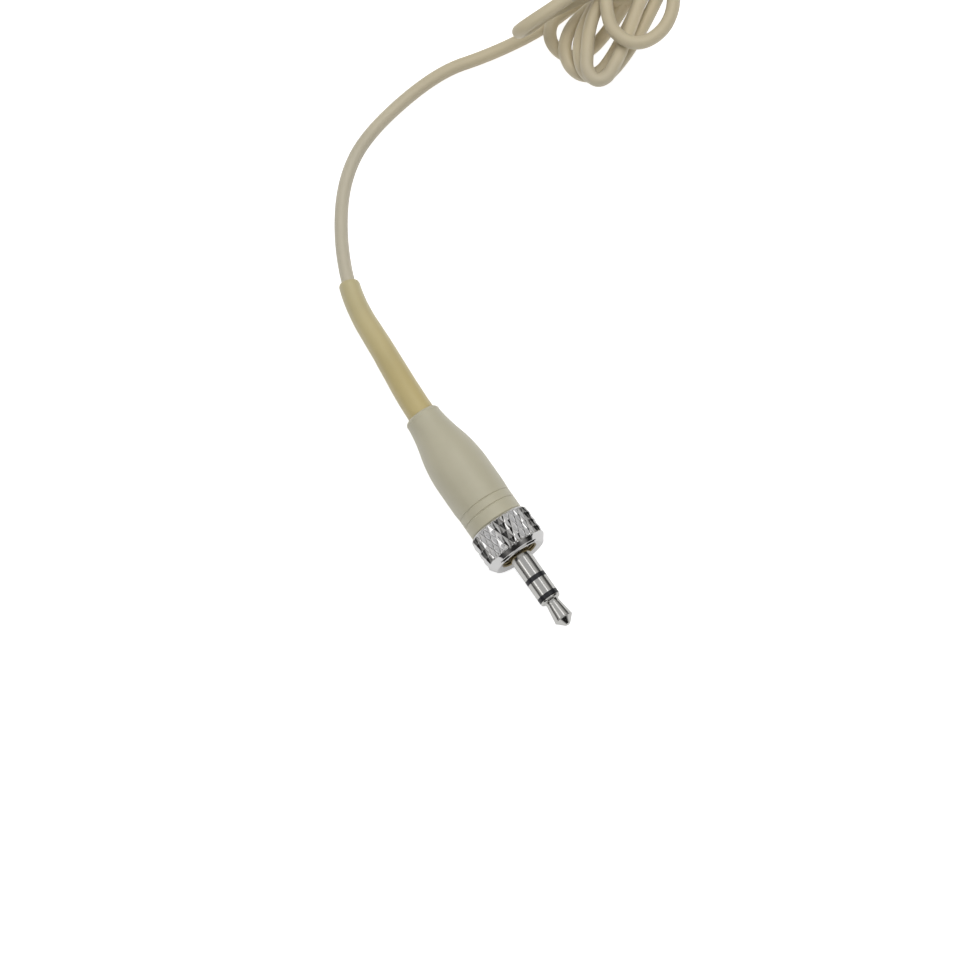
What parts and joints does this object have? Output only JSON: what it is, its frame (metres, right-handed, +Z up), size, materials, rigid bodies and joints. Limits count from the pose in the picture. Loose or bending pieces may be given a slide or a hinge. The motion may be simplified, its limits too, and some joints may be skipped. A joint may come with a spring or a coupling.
{
  "type": "headset microphone",
  "caption": "Beige neckband headset microphone with swivel boom, folding ear hooks and a cable ending in a locking 3.5 mm jack plug.",
  "frame": {"origin": "middle of the headset's footprint on the surface it stands on, leaving out the cable, its hank and its plug", "axes": "+Z up, the wearer faces -Y, so +X is the wearer's left side"},
  "size_m": [0.1516, 0.2944, 0.0584],
  "materials": {
    "contact_metal": "bright nickel plate",
    "ring_chrome": "bright chrome plate, diamond knurl",
    "insulator": "gloss black",
    "brass": "bright brass",
    "boot_plastic": "satin beige moulded plastic",
    "heat_shrink": "shrunk sleeve, slightly clear, semi-matt",
    "cable_jacket": "matt beige jacket",
    "core_insulation": "thin core insulation",
    "shield_copper": "bare copper strands",
    "housing_plastic": "fine-textured beige moulding",
    "silicone": "soft beige silicone",
    "steel": "plain stainless steel",
    "boom_paint": "beige satin paint on steel",
    "foam": "open-cell beige foam",
    "board": "green circuit board",
    "capsule_can": "drawn aluminium can"
  },
  "bodies": {
    "base": {"right_block_shell": "housing_plastic", "right_block_cover": "housing_plastic", "right_cover_screws": "steel", "right_hinge_pin": "steel", "right_band_wire": "steel", "right_band_sleeve": "silicone", "adjuster_top": "housing_plastic", "adjuster_base": "housing_plastic", "adjuster_spring": "steel", "adjuster_screws": "steel", "boom_axle": "steel", "strain_relief": "silicone", "cord_lead": "cable_jacket", "cord_tail": "cable_jacket", "cord_hank": "cable_jacket", "heat_shrink": "heat_shrink", "plug_tip": "contact_metal", "tip_insulator": "insulator", "ring_contact": "contact_metal", "ring_insulator": "insulator", "plug_sleeve": "contact_metal", "spring_washer": "brass", "plug_boot": "boot_plastic", "terminal_washer": "insulator", "ring_terminal": "brass", "tip_terminal": "brass", "ground_lug": "brass", "signal_wire": "core_insulation", "bias_wire": "core_insulation", "shield_wire": "shield_copper"},
    "left_half": {"left_block_shell": "housing_plastic", "left_block_cover": "housing_plastic", "left_cover_screws": "steel", "left_hinge_pin": "steel", "left_band_wire": "steel", "left_band_sleeve": "silicone", "socket_cap": "housing_plastic"},
    "right_hook": {"right_hook_knuckle": "housing_plastic", "right_hook_wire": "steel", "right_hook_sleeve": "silicone"},
    "left_hook": {"left_hook_knuckle": "housing_plastic", "left_hook_wire": "steel", "left_hook_sleeve": "silicone"},
    "boom": {"boom_hub": "housing_plastic", "boom_tube": "boom_paint", "boom_lead": "core_insulation", "capsule_housing": "boom_paint", "capsule_grommet": "silicone", "capsule_board": "board", "capsule_element": "capsule_can", "capsule_grille": "steel"},
    "windscreen": {"windscreen": "foam"},
    "lock_ring": {"lock_ring": "ring_chrome", "thread_insert": "brass"}
  },
  "joints": [
    {"name": "band_width", "type": "slide", "parent": "base", "child": "left_half", "axis": [1, 0, 0], "range_m": [0, 0.012]},
    {"name": "right_hook_fold", "type": "hinge", "parent": "base", "child": "right_hook", "pos_m": [-0.066, 0.0066, 0.008], "axis": [0, 0, 1], "range_deg": [0, 90]},
    {"name": "left_hook_fold", "type": "hinge", "parent": "left_half", "child": "left_hook", "pos_m": [0.066, 0.0066, 0.008], "axis": [0, 0, -1], "range_deg": [0, 90]},
    {"name": "boom_swivel", "type": "hinge", "parent": "base", "child": "boom", "pos_m": [-0.074, 0.014, 0.008], "axis": [-1, 0, 0], "range_deg": [-35, 60]},
    {"name": "windscreen_pull", "type": "slide", "parent": "boom", "child": "windscreen", "axis": [0.6074, -0.7944, 0], "range_m": [0, 0.016]},
    {"name": "lock_ring_spin", "type": "hinge", "parent": "base", "child": "lock_ring", "pos_m": [-0.0034, -0.1944, 0.0052], "axis": [0.5592, -0.829, 0], "continuous": true}
  ]
}
